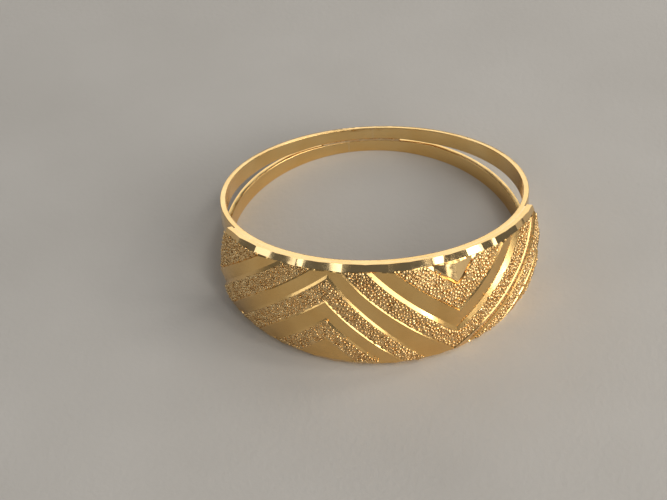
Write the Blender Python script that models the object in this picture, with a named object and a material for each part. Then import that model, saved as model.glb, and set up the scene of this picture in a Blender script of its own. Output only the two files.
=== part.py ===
"""Wide-fronted gold dress ring, built as a goldsmith builds it.

Two thin flat hoops lie one above the other. At the back they meet edge to edge and are soldered together.
From there they spread apart towards the front, where a domed sheet plate is soldered over both of them.
The ring stands on the flat edge of its lower hoop.

Ring frame: the finger runs along local +Z, the plate faces local -Y, and height 0 is midway between the hoops.
Each flat edge of the ring is a plane that tilts, because the ring is wide at the front and narrow at the back.
"""

import math

import bmesh
import bpy
from mathutils import Vector

MM = 0.001

# Hoops
BORE_DIAMETER = 17.3 * MM
STRIP_THICKNESS = 0.32 * MM
FRONT_WIDTH = 6.76 * MM
BACK_WIDTH = 1.67 * MM
SLIT_AT_SIDES = 1.60 * MM
SEAM_HALF_ANGLE = math.radians(14.0)
HOOP_EASE = 0.04 * MM

# Domed plate
PLATE_SPAN = math.radians(136.0)
PLATE_SHEET = 0.40 * MM
DOME_RADIUS = 9.0 * MM
END_BOW = math.radians(1.5)
FACETS_PER_EDGE = 20
FACET_HEIGHT = 0.28 * MM
FACET_DEPTH_CENTRE = 0.24 * MM
FACET_DEPTH_END = 0.10 * MM

# Solder and fits
FIT = 0.015 * MM
SEAM_SOLDER_THICKNESS = 0.10 * MM
SEAM_SOLDER_RUN_ON = math.radians(2.0)
PLATE_JOINT = 0.07 * MM
FILLET_HEIGHT = 0.50 * MM
FILLET_END_SETBACK = math.radians(1.5)
BUTT_SOLDER_WIDTH = 0.12 * MM
UPPER_BUTT_ANGLE = math.radians(175.0)
LOWER_BUTT_ANGLE = math.radians(185.0)

# Smoothness of the curved walls
HOOP_COLUMNS = 120
COLUMNS_PER_FACET = 4
DOME_ROWS = 11
SOLDER_COLUMNS = 36
SHARP_ANGLE = math.radians(25.0)
FACET_SHARP_ANGLE = math.radians(4.5)

BORE_RADIUS = BORE_DIAMETER / 2
HOOP_OUTER_RADIUS = BORE_RADIUS + STRIP_THICKNESS
MEAN_HALF_WIDTH = (FRONT_WIDTH + BACK_WIDTH) / 4
EDGE_SLOPE = (FRONT_WIDTH - BACK_WIDTH) / (2 * BORE_DIAMETER)
EDGE_TILT = math.atan(EDGE_SLOPE)
PLATE_SEAT_RADIUS = HOOP_OUTER_RADIUS + PLATE_JOINT
HALF_SPAN = PLATE_SPAN / 2


def make_material(name, colour, roughness):
    """A plain metal finish in one colour."""
    material = bpy.data.materials.new(name)
    material.use_nodes = True
    shader = material.node_tree.nodes["Principled BSDF"]
    shader.inputs["Base Color"].default_value = (*colour, 1.0)
    shader.inputs["Metallic"].default_value = 1.0
    shader.inputs["Roughness"].default_value = roughness
    return material


def ring_point(radius, angle, height):
    """A point in the ring frame; angle 0 is the front and positive angles turn towards +X."""
    return Vector((radius * math.sin(angle), -radius * math.cos(angle), height))


def edge_height(radius, angle):
    """Height of the ring's upper flat edge; the lower edge is its mirror image."""
    return MEAN_HALF_WIDTH + EDGE_SLOPE * radius * math.cos(angle)


def slit_height(radius, angle):
    """Half the gap between the hoops, which meet the seam solder at the back."""
    depth = -radius * math.cos(angle)
    opening = SLIT_AT_SIDES / 2 * (1 - depth / (BORE_RADIUS * math.cos(SEAM_HALF_ANGLE)))
    return max(opening, SEAM_SOLDER_THICKNESS / 2 + FIT)


def angles_between(first, last, count):
    """Evenly spaced angles, both ends included."""
    return [first + (last - first) * index / (count - 1) for index in range(count)]


def add_wall(name, material, sections, parent, sharp_angle=SHARP_ANGLE):
    """A wall swept through sections, each a list of outer points and a list of inner points, bottom to top."""
    mesh = bmesh.new()
    columns = []
    for outer, inner in sections:
        outer_verts = [mesh.verts.new(point) for point in outer]
        inner_verts = [mesh.verts.new(point) for point in inner]
        columns.append(outer_verts + inner_verts[::-1])
    size = len(columns[0])
    for column, following in zip(columns, columns[1:]):
        for index in range(size):
            after = (index + 1) % size
            mesh.faces.new((column[index], following[index], following[after], column[after]))
    for column in (columns[0], columns[-1]):
        for index in range(size // 2 - 1):
            mesh.faces.new((column[index], column[index + 1], column[size - 2 - index], column[size - 1 - index]))
    bmesh.ops.recalc_face_normals(mesh, faces=mesh.faces)
    data = bpy.data.meshes.new(name)
    mesh.to_mesh(data)
    mesh.free()
    data.materials.append(material)
    data.shade_smooth()
    data.set_sharp_from_angle(angle=sharp_angle)
    wall = bpy.data.objects.new(name, data)
    wall.parent = parent
    bpy.context.scene.collection.objects.link(wall)
    return wall


def strip_section(angle, side):
    """The eased rectangle of one hoop's strip, bottom to top; side is 1 for the upper hoop, -1 for the lower."""

    def heights(radius):
        near, far = slit_height(radius, angle), edge_height(radius, angle)
        return (near, far) if side > 0 else (-far, -near)

    def face(wall_radius, eased_radius):
        eased_low, eased_high = heights(eased_radius)
        low, high = heights(wall_radius)
        profile = (
            (eased_radius, eased_low),
            (wall_radius, low + HOOP_EASE),
            (wall_radius, high - HOOP_EASE),
            (eased_radius, eased_high),
        )
        return [ring_point(radius, angle, height) for radius, height in profile]

    outer = face(HOOP_OUTER_RADIUS, HOOP_OUTER_RADIUS - HOOP_EASE)
    inner = face(BORE_RADIUS, BORE_RADIUS + HOOP_EASE)
    return outer, inner


def add_hoop(name, side, butt_angle, gold, parent):
    """One strip bent round into a hoop, its two ends facing each other across the butt joint."""
    half_gap = (BUTT_SOLDER_WIDTH / 2 + FIT) / BORE_RADIUS
    angles = angles_between(butt_angle + half_gap, butt_angle + math.tau - half_gap, HOOP_COLUMNS)
    return add_wall(name, gold, [strip_section(angle, side) for angle in angles], parent)


def add_butt_solder(name, side, butt_angle, solder, parent):
    """The solder that closes one hoop, with the same section as its strip."""
    half_width = BUTT_SOLDER_WIDTH / 2 / BORE_RADIUS
    angles = angles_between(butt_angle - half_width, butt_angle + half_width, 3)
    return add_wall(name, solder, [strip_section(angle, side) for angle in angles], parent)


def add_seam_solder(solder, parent):
    """The flat seam that joins the two hoops edge to edge at the back."""
    reach = SEAM_HALF_ANGLE + SEAM_SOLDER_RUN_ON
    half = SEAM_SOLDER_THICKNESS / 2
    sections = []
    for angle in angles_between(math.pi - reach, math.pi + reach, SOLDER_COLUMNS):
        outer = [ring_point(HOOP_OUTER_RADIUS, angle, height) for height in (-half, half)]
        inner = [ring_point(BORE_RADIUS, angle, height) for height in (-half, half)]
        sections.append((outer, inner))
    return add_wall("back_seam_solder", solder, sections, parent)


def plate_inner_radius(height, half_width):
    """Inside of the domed sheet: nearest the hoops along the plate's edges and highest midway between them."""
    return PLATE_SEAT_RADIUS + (half_width**2 - height**2) / (2 * DOME_RADIUS)


def facet_cut(turn, half_width):
    """One flat cut of the bevelled edge: its radius at the plate's edge, and how far down the dome it reaches."""
    facet_angle = PLATE_SPAN / FACETS_PER_EDGE
    place = (turn + 1) / 2 * FACETS_PER_EDGE
    from_middle = (place - math.floor(place) - 0.5) * facet_angle
    depth = FACET_DEPTH_CENTRE + (FACET_DEPTH_END - FACET_DEPTH_CENTRE) * abs(turn)
    edge_radius = PLATE_SEAT_RADIUS + PLATE_SHEET
    foot_rise = (half_width**2 - (half_width - FACET_HEIGHT) ** 2) / (2 * DOME_RADIUS)
    slope = (depth + foot_rise) / FACET_HEIGHT
    spread = 1 / math.cos(from_middle)
    cut_radius = (edge_radius - depth) * spread
    linear = slope * spread - half_width / DOME_RADIUS
    constant = cut_radius - edge_radius
    reach = DOME_RADIUS * (math.sqrt(linear**2 - 2 * constant / DOME_RADIUS) - linear)
    return cut_radius, reach


def plate_section(turn):
    """The domed sheet's section; turn runs from -1 at one end of the plate to 1 at the other."""
    angle = turn * HALF_SPAN
    half_width = edge_height(PLATE_SEAT_RADIUS, angle)
    cut_radius, reach = facet_cut(turn, half_width)
    cut_height = edge_height(cut_radius, angle)
    seat_height = half_width
    foot_height = half_width - reach

    def sheet_point(radius, height):
        bow = END_BOW * max(0.0, 1 - (height / half_width) ** 2)
        return ring_point(radius, turn * (HALF_SPAN + bow), height)

    outer = [ring_point(cut_radius, angle, -cut_height)]
    inner = [ring_point(PLATE_SEAT_RADIUS, angle, -seat_height)]
    for row in range(DOME_ROWS + 1):
        share = 2 * row / DOME_ROWS - 1
        height = share * foot_height
        outer.append(sheet_point(plate_inner_radius(height, half_width) + PLATE_SHEET, height))
        inner.append(sheet_point(plate_inner_radius(height, half_width), height))
    outer.append(ring_point(cut_radius, angle, cut_height))
    inner.append(ring_point(PLATE_SEAT_RADIUS, angle, seat_height))
    return outer, inner


def add_front_plate(gold, parent):
    """The domed sheet over the front, with a row of flat bevel cuts along both long edges."""
    count = FACETS_PER_EDGE * COLUMNS_PER_FACET + 1
    sections = [plate_section(turn) for turn in angles_between(-1.0, 1.0, count)]
    return add_wall("front_plate", gold, sections, parent, FACET_SHARP_ANGLE)


def add_plate_solder(name, side, solder, parent):
    """The fillet between one hoop's outer face and the inside of the plate, along the plate's edge."""
    sections = []
    reach = HALF_SPAN - FILLET_END_SETBACK
    for angle in angles_between(-reach, reach, SOLDER_COLUMNS):
        half_width = edge_height(PLATE_SEAT_RADIUS, angle)
        outer, inner = [], []
        for share in (0.0, 0.5, 1.0):
            height = half_width - HOOP_EASE - FILLET_HEIGHT * (1 - share)
            outer.append(ring_point(plate_inner_radius(height, half_width) - FIT, angle, side * height))
            inner.append(ring_point(HOOP_OUTER_RADIUS + FIT, angle, side * height))
        sections.append((outer, inner))
    return add_wall(name, solder, sections, parent)


def stand_on_lower_edge(frame, pieces):
    """Tilts the ring on to its lower edge and centres its base on the origin."""
    frame.rotation_euler.x = -EDGE_TILT
    frame.location.z = MEAN_HALF_WIDTH * math.cos(EDGE_TILT)
    bpy.context.view_layer.update()
    points = [piece.matrix_world @ vert.co for piece in pieces for vert in piece.data.vertices]
    for axis in (0, 1):
        values = [point[axis] for point in points]
        frame.location[axis] = -(min(values) + max(values)) / 2


def main():
    for existing in list(bpy.data.objects):
        bpy.data.objects.remove(existing)

    polished_gold = make_material("polished_gold", (0.83, 0.58, 0.25), 0.14)
    cut_gold = make_material("diamond_cut_gold", (0.86, 0.62, 0.30), 0.22)
    solder = make_material("gold_solder", (0.80, 0.60, 0.32), 0.30)

    frame = bpy.data.objects.new("ring_frame", None)
    bpy.context.scene.collection.objects.link(frame)

    pieces = [
        add_hoop("upper_hoop", 1, UPPER_BUTT_ANGLE, polished_gold, frame),
        add_hoop("lower_hoop", -1, LOWER_BUTT_ANGLE, polished_gold, frame),
        add_butt_solder("upper_hoop_butt_solder", 1, UPPER_BUTT_ANGLE, solder, frame),
        add_butt_solder("lower_hoop_butt_solder", -1, LOWER_BUTT_ANGLE, solder, frame),
        add_seam_solder(solder, frame),
        add_front_plate(cut_gold, frame),
        add_plate_solder("upper_plate_solder", 1, solder, frame),
        add_plate_solder("lower_plate_solder", -1, solder, frame),
    ]
    stand_on_lower_edge(frame, pieces)


main()
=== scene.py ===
"""Looks of a wide-fronted gold dress ring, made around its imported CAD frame.

Two thin hoops lie one above the other and share a soldered seam at the back. A domed sheet plate covers
both at the front. Its zigzag stripes are bright cuts with walls at their borders, and between them the sheet
is stippled.

Ring frame: the finger runs along local +Z, the plate faces local -Y, and height 0 is midway between the
hoops. Angle 0 is the middle of the plate, and positive angles turn towards +X. All lengths are in metres.
"""

import logging
import math
import random
from dataclasses import dataclass, field
from enum import Enum
from typing import Any, ClassVar

import bmesh
import bpy
from mathutils import Matrix, Vector, noise


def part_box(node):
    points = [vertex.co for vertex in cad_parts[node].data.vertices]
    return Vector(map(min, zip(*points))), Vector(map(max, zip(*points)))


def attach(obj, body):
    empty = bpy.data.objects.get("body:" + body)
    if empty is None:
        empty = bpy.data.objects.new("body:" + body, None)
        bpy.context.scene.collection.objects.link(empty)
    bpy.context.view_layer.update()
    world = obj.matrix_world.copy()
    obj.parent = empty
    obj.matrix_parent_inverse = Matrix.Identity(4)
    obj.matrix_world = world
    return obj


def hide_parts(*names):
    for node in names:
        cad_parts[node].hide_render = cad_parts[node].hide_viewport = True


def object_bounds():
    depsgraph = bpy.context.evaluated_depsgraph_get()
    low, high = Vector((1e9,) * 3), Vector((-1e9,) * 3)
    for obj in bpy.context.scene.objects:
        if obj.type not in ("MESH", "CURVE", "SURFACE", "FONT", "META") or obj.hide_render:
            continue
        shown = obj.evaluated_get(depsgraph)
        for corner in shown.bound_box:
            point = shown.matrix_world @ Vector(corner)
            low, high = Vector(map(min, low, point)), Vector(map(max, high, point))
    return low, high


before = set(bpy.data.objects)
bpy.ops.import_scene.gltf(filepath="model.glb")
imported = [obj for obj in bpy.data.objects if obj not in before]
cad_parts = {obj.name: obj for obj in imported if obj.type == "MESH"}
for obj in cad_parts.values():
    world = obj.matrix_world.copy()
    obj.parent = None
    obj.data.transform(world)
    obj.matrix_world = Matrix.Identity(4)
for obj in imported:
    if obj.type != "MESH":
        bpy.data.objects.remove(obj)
cad_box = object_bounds()

MM = 0.001
MICRON = 0.000001
BODY = "root"
log = logging.getLogger("ring")

BORDER_SHARE = 0.99  # how near a relief line must be to the long border to count as on it
NOISE_LOW = 0.3  # the window in which nearly all of a noise lies
NOISE_HIGH = 0.7
Colour = tuple[float, float, float]
WARM_WHITE: Colour = (1.0, 0.95, 0.88)


class Slot(Enum):
    """The record's material slots."""

    HOOP = "hoop_gold"
    PLATE = "plate_gold"
    SOLDER = "gold_solder"


class Surface(Enum):
    """Finishes on the front plate; the value is the material's place on the mesh."""

    BRIGHT_CUT = 0
    STIPPLED = 1
    FACET = 2
    PLAIN = 3


class Arm(Enum):
    """The zigzag's arms: up to the peak, down to the valley, and up again."""

    LEFT = 0
    MIDDLE = 1
    RIGHT = 2


class Edge(Enum):
    """The ring's two long edges; the value is the sign of their height."""

    UPPER = 1
    LOWER = -1


# --- Sizes and the ring frame ---


@dataclass(frozen=True)
class RingSizes:
    """Driving sizes of the ring, the same as in its CAD."""

    bore_radius: float = 8.65 * MM
    strip_thickness: float = 0.32 * MM
    front_width: float = 6.76 * MM
    back_width: float = 1.67 * MM
    slit_at_sides: float = 1.60 * MM
    seam_half_angle: float = math.radians(14.0)
    hoop_ease: float = 0.04 * MM
    half_span: float = math.radians(68.0)
    plate_sheet: float = 0.40 * MM
    dome_radius: float = 9.0 * MM
    end_bow: float = math.radians(1.5)
    facet_height: float = 0.28 * MM
    facet_depth_centre: float = 0.24 * MM
    facet_depth_end: float = 0.10 * MM
    fit: float = 0.015 * MM
    seam_solder_thickness: float = 0.10 * MM
    seam_solder_run_on: float = math.radians(2.0)
    plate_joint: float = 0.07 * MM
    fillet_height: float = 0.50 * MM
    fillet_end_setback: float = math.radians(1.5)
    butt_solder_width: float = 0.12 * MM
    upper_butt_angle: float = math.radians(175.0)
    lower_butt_angle: float = math.radians(185.0)

    @property
    def outer_radius(self) -> float:
        """Outer radius of both hoops."""
        return self.bore_radius + self.strip_thickness

    @property
    def seat_radius(self) -> float:
        """Radius of the plate's inside along its long edges."""
        return self.outer_radius + self.plate_joint

    @property
    def mean_half_width(self) -> float:
        """Half the ring's width at its sides."""
        return (self.front_width + self.back_width) / 4

    @property
    def edge_slope(self) -> float:
        """Rise of the upper edge for each metre towards the front."""
        return (self.front_width - self.back_width) / (4 * self.bore_radius)

    @property
    def tilt(self) -> float:
        """Angle between the ring's mid-plane and the floor."""
        return math.atan(self.edge_slope)

    @property
    def least_gap(self) -> float:
        """Half the gap between the hoops along the soldered seam."""
        return self.seam_solder_thickness / 2 + self.fit

    @property
    def closing_depth(self) -> float:
        """Distance behind the ring's middle at which the two slits close."""
        return self.bore_radius * math.cos(self.seam_half_angle)

    def edge_height(self, radius: float, angle: float) -> float:
        """Height of the upper flat edge; the lower edge is its mirror image.

        Args:
            radius: distance from the finger's axis.
            angle: angle round the ring.

        Returns:
            The height above the mid-plane.
        """
        return self.mean_half_width + self.edge_slope * radius * math.cos(angle)

    def dome_rise(self, height: float, angle: float) -> float:
        """How far the domed sheet stands off its seat.

        Args:
            height: height above the mid-plane.
            angle: angle round the ring.

        Returns:
            The distance from the seat radius to the inside of the sheet.
        """
        half_width = self.edge_height(self.seat_radius, angle)
        return (half_width**2 - height**2) / (2 * self.dome_radius)


@dataclass(frozen=True)
class RingFrame:
    """Places the ring frame in the shared frame, as the CAD does."""

    sizes: RingSizes

    @staticmethod
    def point(radius: float, angle: float, height: float) -> Vector:
        """A point in the ring frame from its radius, angle and height."""
        return Vector((radius * math.sin(angle), -radius * math.cos(angle), height))

    def matrix(self) -> Matrix:
        """The move from the ring frame to the shared frame.

        Returns:
            A tilt about X that lays the lower edge on the floor, then a shift from the CAD's lower hoop.
        """
        sizes = self.sizes
        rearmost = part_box("lower_hoop")[1].y
        seam_edge = sizes.least_gap + sizes.hoop_ease
        tilted = math.cos(sizes.tilt) * sizes.outer_radius - math.sin(sizes.tilt) * seam_edge
        lift = sizes.mean_half_width * math.cos(sizes.tilt)
        return Matrix.Translation((0.0, rearmost - tilted, lift)) @ Matrix.Rotation(-sizes.tilt, 4, "X")


# --- Node trees and meshes ---


@dataclass
class NodeBench:
    """Adds and links nodes in one tree."""

    tree: Any

    def add(self, kind: str, inputs: dict[Any, Any] | None = None, **settings: Any) -> Any:
        """Adds a node.

        Args:
            kind: the node's type name.
            inputs: values or source sockets, by input name or index.
            settings: attributes of the node.

        Returns:
            The node.
        """
        node = self.tree.nodes.new(kind)
        for key, value in settings.items():
            setattr(node, key, value)
        for key, value in (inputs or {}).items():
            if isinstance(value, bpy.types.NodeSocket):
                self.tree.links.new(value, node.inputs[key])
            else:
                node.inputs[key].default_value = value
        return node

    def math(self, operation: str, *values: Any) -> Any:
        """The output of a math node on up to three numbers or sockets."""
        return self.add("ShaderNodeMath", dict(enumerate(values)), operation=operation).outputs[0]

    def blend(self, share: Any, light: Colour, deep: Colour) -> Any:
        """The output of a node that goes from the light to the deep colour as a noise rises.

        Args:
            share: socket with the noise.
            light: colour at its low end.
            deep: colour at its high end.

        Returns:
            The colour's socket.
        """
        window = self.spread(share, 0.0, 1.0, NOISE_LOW, NOISE_HIGH)
        node = self.add("ShaderNodeMix", {0: window}, data_type="RGBA")
        node.inputs[6].default_value = (*light, 1.0)
        node.inputs[7].default_value = (*deep, 1.0)
        return node.outputs[2]

    def spread(self, value: Any, low: float, high: float, start: float = 0.0, stop: float = 1.0) -> Any:
        """The output of a node that maps start..stop on to low..high, clamped."""
        numbers = {"Value": value, "From Min": start, "From Max": stop, "To Min": low, "To Max": high}
        return self.add("ShaderNodeMapRange", numbers).outputs["Result"]


class ShapeTree:
    """A Geometry Nodes tree with named inputs, built by a sub-class."""

    name = "shape"
    input_types: dict[str, str] = {}
    takes_mesh = False

    def __init__(self) -> None:
        """Builds the tree."""
        self.group = bpy.data.node_groups.new(self.name, "GeometryNodeTree")
        interface = self.group.interface
        interface.new_socket("Geometry", in_out="OUTPUT", socket_type="NodeSocketGeometry")
        if self.takes_mesh:
            interface.new_socket("Geometry", in_out="INPUT", socket_type="NodeSocketGeometry")
        self.identifiers = {}
        for name, kind in self.input_types.items():
            socket = interface.new_socket(name, in_out="INPUT", socket_type=kind)
            self.identifiers[name] = socket.identifier
        self.bench = NodeBench(self.group)
        self.inputs = self.bench.add("NodeGroupInput").outputs
        shape = self.build()
        realized = self.bench.add("GeometryNodeRealizeInstances", {0: shape}).outputs[0]
        gold = self.inputs["Material"]
        painted = self.bench.add("GeometryNodeSetMaterial", {0: realized, "Material": gold}).outputs[0]
        self.bench.add("NodeGroupOutput", {0: painted})

    def build(self) -> Any:
        """Adds the tree's nodes and returns the socket that holds the shape."""
        raise NotImplementedError

    def mesh(self, name: str, values: dict[str, Any], source: bpy.types.Mesh | None = None) -> bpy.types.Mesh:
        """Evaluates the tree once.

        Args:
            name: name of the new mesh.
            values: value of each named input.
            source: the mesh that the tree works on, where it takes one.

        Returns:
            A plain mesh.
        """
        carrier = bpy.data.objects.new(name + "_carrier", source or bpy.data.meshes.new(name + "_source"))
        bpy.context.scene.collection.objects.link(carrier)
        modifier = carrier.modifiers.new("shape", "NODES")
        modifier.node_group = self.group
        for input_name, value in values.items():
            modifier[self.identifiers[input_name]] = value
        weights = carrier.modifiers.new("even shading", "WEIGHTED_NORMAL")
        weights.keep_sharp = True
        graph = bpy.context.evaluated_depsgraph_get()
        mesh = bpy.data.meshes.new_from_object(carrier.evaluated_get(graph))
        mesh.name = name
        for index in reversed(range(len(mesh.materials))):
            if mesh.materials[index] is None:
                mesh.materials.pop(index=index)
        bpy.data.objects.remove(carrier)
        return mesh


def add_piece(name: str, mesh: bpy.types.Mesh, slot: Slot, *nodes: str) -> bpy.types.Object:
    """Makes a mesh into a piece of the ring.

    Args:
        name: the piece's name.
        mesh: its mesh, already in the shared frame.
        slot: the record's material slot; not used.
        nodes: CAD nodes that the piece stands for.

    Returns:
        The piece.
    """
    piece = bpy.data.objects.new(name, mesh)
    bpy.context.scene.collection.objects.link(piece)
    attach(piece, BODY)
    if nodes:
        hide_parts(*nodes)
    log.info("%s: %d faces", name, len(mesh.polygons))
    return piece


def even_steps(first: float, last: float, step: float) -> list[float]:
    """Evenly spaced numbers from first to last, about one step apart.

    Args:
        first: first number.
        last: last number.
        step: largest distance between two numbers.

    Returns:
        The numbers, with both ends.
    """
    count = max(1, math.ceil((last - first) / step))
    return [first + (last - first) * index / count for index in range(count + 1)]


def swept_mesh(name: str, sections: list[list[Vector]], sharp_angle: float) -> bpy.types.Mesh:
    """A closed solid swept through closed sections.

    Args:
        name: name of the mesh.
        sections: rings of points, all with the same number of points.
        sharp_angle: faces that meet at more than this angle keep a sharp edge.

    Returns:
        The mesh.
    """
    solid = bmesh.new()
    rings = [[solid.verts.new(point) for point in section] for section in sections]
    size = len(rings[0])
    for ring, following in zip(rings, rings[1:]):
        for index in range(size):
            after = (index + 1) % size
            solid.faces.new((ring[index], following[index], following[after], ring[after]))
    solid.faces.new(rings[0])
    solid.faces.new(rings[-1])
    bmesh.ops.recalc_face_normals(solid, faces=solid.faces)
    mesh = bpy.data.meshes.new(name)
    solid.to_mesh(mesh)
    solid.free()
    mesh.shade_smooth()
    mesh.set_sharp_from_angle(angle=sharp_angle)
    return mesh


# --- Finishes ---


@dataclass(frozen=True)
class GoldFinish:
    """A worked gold surface, on Object coordinates."""

    name: str
    light: Colour
    deep: Colour
    smoothest: float
    roughest: float
    patch_size: float
    wave_size: float
    wave_height: float
    hair_size: float
    hair_height: float
    patch_detail: ClassVar[float] = 3.0
    rub_fineness: ClassVar[float] = 3.0
    rub_detail: ClassVar[float] = 4.0
    wave_detail: ClassVar[float] = 1.0
    hair_detail: ClassVar[float] = 2.0
    hair_stretch: ClassVar[tuple[float, float, float]] = (0.1, 0.1, 1.0)

    def build(self) -> bpy.types.Material:
        """Makes the material.

        Returns:
            A metal whose colour and polish drift over patch_size, with soft waves and fine hair scratches. It
            is made once and then shared.
        """
        if self.name in bpy.data.materials:
            return bpy.data.materials[self.name]
        material = bpy.data.materials.new(self.name)
        material.use_nodes = True
        bench = NodeBench(material.node_tree)
        shader = material.node_tree.nodes["Principled BSDF"]
        shader.inputs["Metallic"].default_value = 1.0
        place = bench.add("ShaderNodeTexCoord").outputs["Object"]
        patches = self.noise(bench, place, 1 / self.patch_size, self.patch_detail)
        bench.tree.links.new(bench.blend(patches, self.light, self.deep), shader.inputs["Base Color"])
        rubbed = self.noise(bench, place, self.rub_fineness / self.patch_size, self.rub_detail)
        polish = bench.spread(rubbed, self.smoothest, self.roughest, NOISE_LOW, NOISE_HIGH)
        bench.tree.links.new(polish, shader.inputs["Roughness"])
        waves = self.noise(bench, place, 1 / self.wave_size, self.wave_detail)
        soft = bench.add("ShaderNodeBump", {"Height": waves, "Distance": self.wave_height, "Strength": 1.0})
        hairs = bench.add(
            "ShaderNodeBump",
            {"Height": self.hairs(bench, place), "Distance": self.hair_height, "Normal": soft.outputs[0]},
        )
        bench.tree.links.new(hairs.outputs[0], shader.inputs["Normal"])
        return material

    @staticmethod
    def noise(bench: NodeBench, place: Any, scale: float, detail: float) -> Any:
        """The output of a noise texture at that scale and detail."""
        inputs = {"Vector": place, "Scale": scale, "Detail": detail}
        return bench.add("ShaderNodeTexNoise", inputs).outputs["Fac"]

    def hairs(self, bench: NodeBench, place: Any) -> Any:
        """Hair scratches along the ring: a noise stretched ten times as long as it is high."""
        stretched = bench.add("ShaderNodeMapping", {"Vector": place, "Scale": self.hair_stretch}).outputs[0]
        return self.noise(bench, stretched, 1 / self.hair_size, self.hair_detail)


@dataclass(frozen=True)
class HeatedFinish(GoldFinish):
    """Polished gold with a mottled patch where the torch soldered the seam."""

    centre: tuple[float, float, float] = (0.0, 0.0, 0.0)
    reach: float = 3.0 * MM
    full_share: float = 0.55
    mottle_size: float = 0.45 * MM
    mottle_height: float = 0.05 * MM

    def hairs(self, bench: NodeBench, place: Any) -> Any:
        """Hair scratches, with mottling added near the seam.

        Args:
            bench: where the nodes are added.
            place: socket with the place on the piece.

        Returns:
            The height's socket.
        """
        plain = super().hairs(bench, place)
        away = bench.add("ShaderNodeVectorMath", {0: place, 1: self.centre}, operation="DISTANCE")
        near = bench.spread(away.outputs["Value"], 1.0, 0.0, self.reach * self.full_share, self.reach)
        mottle = self.noise(bench, place, 1 / self.mottle_size, self.hair_detail)
        strength = self.mottle_height / self.hair_height
        lumps = bench.math("MULTIPLY", bench.math("MULTIPLY", mottle, near), strength)
        return bench.math("ADD", plain, lumps)


@dataclass(frozen=True)
class StippleFinish(GoldFinish):
    """Punched gold: grains of every polish, dark in the pits between them."""

    def hairs(self, bench: NodeBench, place: Any) -> Any:
        """Tiny pits instead of hair scratches."""
        cells = bench.add("ShaderNodeTexVoronoi", {"Vector": place, "Scale": 1 / self.hair_size})
        return cells.outputs["Distance"]


@dataclass(frozen=True)
class FloorFinish:
    """A plain pale matt floor with a barely uneven surface."""

    name: str = "pale_floor"
    light: Colour = (0.60, 0.575, 0.535)
    shade: Colour = (0.56, 0.535, 0.495)
    cloud_size: float = 9.0 * MM
    grain_size: float = 0.35 * MM
    grain_height: float = 0.03 * MM
    grain_strength: float = 0.6
    roughness: float = 0.85

    def build(self) -> bpy.types.Material:
        """Makes the floor's material.

        Returns:
            The material.
        """
        material = bpy.data.materials.new(self.name)
        material.use_nodes = True
        bench = NodeBench(material.node_tree)
        shader = material.node_tree.nodes["Principled BSDF"]
        place = bench.add("ShaderNodeTexCoord").outputs["Object"]
        clouds = GoldFinish.noise(bench, place, 1 / self.cloud_size, 3.0)
        bench.tree.links.new(bench.blend(clouds, self.light, self.shade), shader.inputs["Base Color"])
        shader.inputs["Roughness"].default_value = self.roughness
        grain = GoldFinish.noise(bench, place, 1 / self.grain_size, 3.0)
        rough = {"Height": grain, "Distance": self.grain_height, "Strength": self.grain_strength}
        bump = bench.add("ShaderNodeBump", rough)
        bench.tree.links.new(bump.outputs[0], shader.inputs["Normal"])
        return material


@dataclass(frozen=True)
class Finishes:
    """Every gold finish on the ring."""

    hoop: HeatedFinish = HeatedFinish(
        name="polished_hoop_gold",
        light=(0.93, 0.66, 0.30),
        deep=(0.86, 0.56, 0.21),
        smoothest=0.13,
        roughest=0.22,
        patch_size=2.4 * MM,
        wave_size=1.1 * MM,
        wave_height=0.012 * MM,
        hair_size=0.05 * MM,
        hair_height=0.0009 * MM,
        centre=(0.0, 9.0 * MM, 0.6 * MM),
    )
    bright_cut: GoldFinish = GoldFinish(
        name="bright_cut_gold",
        light=(0.88, 0.58, 0.23),
        deep=(0.80, 0.50, 0.18),
        smoothest=0.14,
        roughest=0.24,
        patch_size=1.6 * MM,
        wave_size=0.8 * MM,
        wave_height=0.008 * MM,
        hair_size=0.06 * MM,
        hair_height=0.0006 * MM,
    )
    facet: GoldFinish = GoldFinish(
        name="mirror_cut_gold",
        light=(0.94, 0.68, 0.34),
        deep=(0.88, 0.60, 0.27),
        smoothest=0.06,
        roughest=0.12,
        patch_size=1.2 * MM,
        wave_size=0.6 * MM,
        wave_height=0.004 * MM,
        hair_size=0.04 * MM,
        hair_height=0.0003 * MM,
    )
    stipple: StippleFinish = StippleFinish(
        name="stippled_gold",
        light=(0.96, 0.70, 0.35),
        deep=(0.64, 0.39, 0.15),
        smoothest=0.06,
        roughest=0.20,
        patch_size=0.30 * MM,
        wave_size=0.09 * MM,
        wave_height=0.005 * MM,
        hair_size=0.04 * MM,
        hair_height=0.003 * MM,
    )
    filed_solder: GoldFinish = GoldFinish(
        name="filed_solder_gold",
        light=(0.93, 0.68, 0.35),
        deep=(0.86, 0.60, 0.28),
        smoothest=0.14,
        roughest=0.26,
        patch_size=0.9 * MM,
        wave_size=0.5 * MM,
        wave_height=0.006 * MM,
        hair_size=0.05 * MM,
        hair_height=0.0008 * MM,
    )
    solder: GoldFinish = GoldFinish(
        name="soldered_gold",
        light=(0.90, 0.70, 0.42),
        deep=(0.76, 0.53, 0.27),
        smoothest=0.22,
        roughest=0.42,
        patch_size=0.45 * MM,
        wave_size=0.18 * MM,
        wave_height=0.02 * MM,
        hair_size=0.03 * MM,
        hair_height=0.001 * MM,
    )


# --- Hoops ---


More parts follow.
